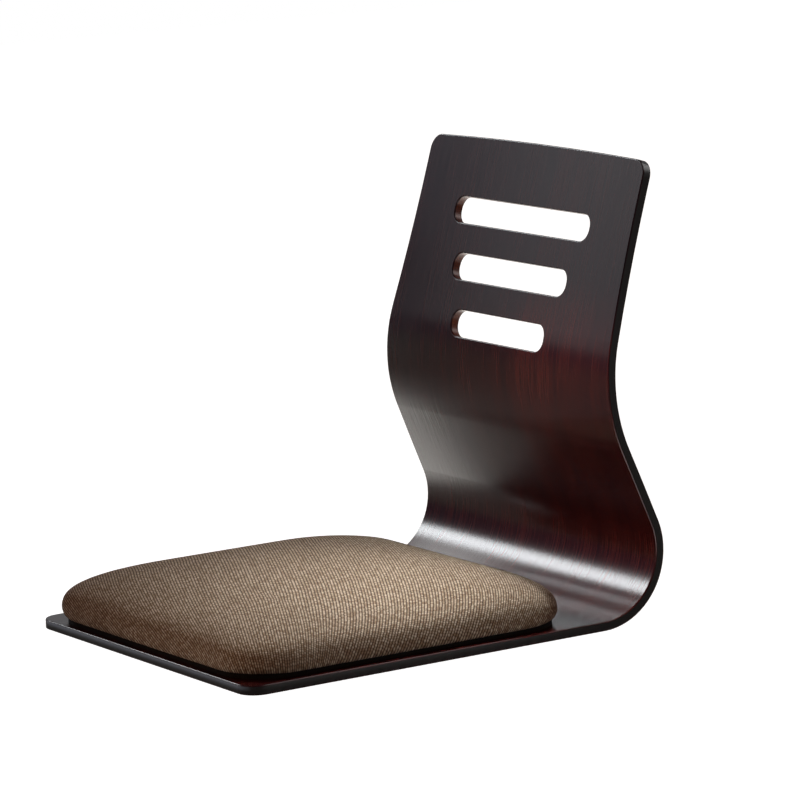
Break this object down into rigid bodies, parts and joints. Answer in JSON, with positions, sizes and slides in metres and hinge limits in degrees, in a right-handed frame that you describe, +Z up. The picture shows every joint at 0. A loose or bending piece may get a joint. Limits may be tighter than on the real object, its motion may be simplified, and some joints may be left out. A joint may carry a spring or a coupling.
{
  "type": "legless floor chair",
  "caption": "Legless floor chair: one bent-plywood shell, flat seat rising through a tight bend into a waisted back with hand slots, and a fixed square upholstered seat cushion",
  "frame": {"origin": "on the floor under the middle of the chair's bounding box", "axes": "+X across the chair, towards the sitter's left hand; the front edge of the seat faces -Y; +Z up"},
  "size_m": [0.4, 0.4885, 0.4527],
  "materials": {
    "stained_veneer": "semi-gloss",
    "core_veneer": "semi-gloss",
    "upholstery_twill": "woven",
    "padding": "soft",
    "board_plywood": "raw",
    "dust_cloth": "matte",
    "zinc_plated_steel": "satin",
    "felt": "matte"
  },
  "bodies": {
    "root": {"front_face_ply": "stained_veneer", "core_ply_2": "core_veneer", "core_ply_3": "core_veneer", "core_ply_4": "core_veneer", "core_ply_5": "core_veneer", "core_ply_6": "core_veneer", "rear_face_ply": "stained_veneer", "cushion_cover": "upholstery_twill", "wadding": "padding", "foam_pad": "padding", "seat_board": "board_plywood", "dust_cloth": "dust_cloth", "cover_staples": "zinc_plated_steel", "insert_nuts": "zinc_plated_steel", "mounting_screws": "zinc_plated_steel", "screw_washers": "zinc_plated_steel", "floor_pads": "felt"}
  },
  "joints": []
}
